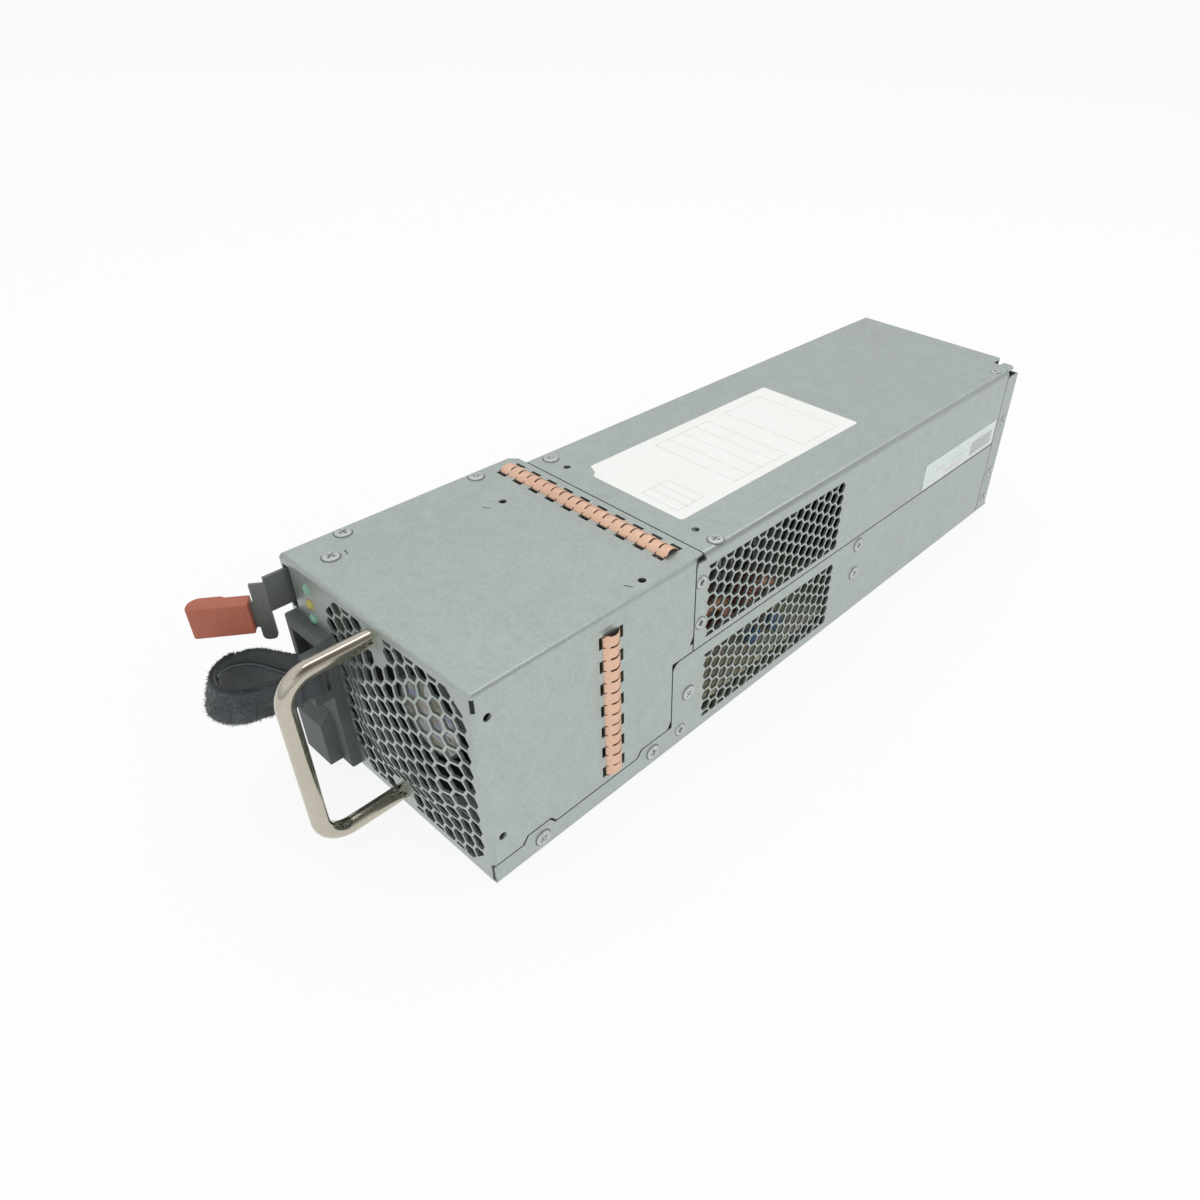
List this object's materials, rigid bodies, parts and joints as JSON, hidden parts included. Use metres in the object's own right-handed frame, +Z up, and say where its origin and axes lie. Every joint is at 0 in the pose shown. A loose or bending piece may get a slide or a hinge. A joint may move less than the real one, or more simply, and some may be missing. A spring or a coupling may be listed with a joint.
{
  "type": "hot swap server power supply",
  "caption": "Slim folded-sheet server power supply with a honeycomb fan grille, wire carrying handle, release latch, mains inlet with cable strap and a rear blind-mate output connector.",
  "frame": {"origin": "middle of the case's bottom face, on the surface it rests on", "axes": "+X to the right side with the vents, -Y out of the front grille, +Z up"},
  "size_m": [0.1213, 0.4011, 0.0866],
  "materials": {
    "galvanised_sheet": "satin zinc coat",
    "fastener_steel": "zinc plated",
    "contact_copper": "satin",
    "nickel_wire": "polished nickel",
    "latch_plate": "dark passivated",
    "grip_plastic": "satin",
    "charcoal_plastic": "fine texture",
    "strap_fabric": "loop pile",
    "green_lens": "clear tint",
    "amber_lens": "clear tint",
    "board_laminate": "solder mask",
    "winding_copper": "enamelled wire",
    "can_sleeve": "shrink sleeve",
    "film_block": "moulded",
    "disc_blue": "dipped",
    "sink_aluminium": "extruded",
    "device_black": "moulded",
    "ferrite": "ground",
    "winding_tape": "film tape",
    "fan_plastic": "moulded",
    "contact_gold": "plated"
  },
  "bodies": {
    "case": {"base_tray": "galvanised_sheet", "board_standoffs": "fastener_steel", "bridge_rectifier": "device_black", "bulk_capacitors": "can_sleeve", "cable_strap": "strap_fabric", "carry_handle": "nickel_wire", "common_mode_choke": "winding_copper", "control_board": "board_laminate", "cover_screws": "fastener_steel", "fan_cage": "galvanised_sheet", "filter_choke": "winding_copper", "front_cover": "galvanised_sheet", "front_fan_frame": "fan_plastic", "front_panel": "galvanised_sheet", "handle_nuts": "fastener_steel", "hollow_rivets": "fastener_steel", "indicator_board": "board_laminate", "indicator_bracket": "galvanised_sheet", "indicator_lens_fault": "amber_lens", "indicator_lens_input": "green_lens", "indicator_lens_power": "green_lens", "inlet_contacts": "contact_gold", "inlet_surround": "charcoal_plastic", "latch_bracket": "latch_plate", "latch_pin": "fastener_steel", "main_board": "board_laminate", "output_busbars": "contact_copper", "output_capacitors": "can_sleeve", "output_connector": "charcoal_plastic", "output_contacts": "contact_gold", "output_rectifiers": "device_black", "pfc_choke": "winding_copper", "power_inlet": "charcoal_plastic", "power_transistors": "device_black", "primary_heatsink": "sink_aluminium", "rear_cover": "galvanised_sheet", "rear_fan_frame": "fan_plastic", "rear_panel": "galvanised_sheet", "secondary_heatsink": "sink_aluminium", "side_finger_strip": "contact_copper", "top_finger_strip": "contact_copper", "transformer_core": "ferrite", "transformer_winding": "winding_tape", "x_capacitor": "film_block", "y_capacitors": "disc_blue"},
    "latch": {"latch_lever": "latch_plate", "latch_grip": "grip_plastic", "latch_spring": "fastener_steel"},
    "front_rotor": {"front_fan_rotor": "fan_plastic"},
    "rear_rotor": {"rear_fan_rotor": "fan_plastic"}
  },
  "joints": [
    {"name": "latch_pivot", "type": "hinge", "parent": "case", "child": "latch", "pos_m": [-0.048, -0.1295, 0.071], "axis": [0, 0, 1], "range_deg": [0, 2.7], "stiffness_Nm_per_rad": 0.8},
    {"name": "front_fan_spin", "type": "hinge", "parent": "case", "child": "front_rotor", "pos_m": [0.0105, -0.163, 0.0425], "axis": [0, 1, 0], "continuous": true},
    {"name": "rear_fan_spin", "type": "hinge", "parent": "case", "child": "rear_rotor", "pos_m": [0.0105, -0.135, 0.0425], "axis": [0, 1, 0], "continuous": true}
  ]
}
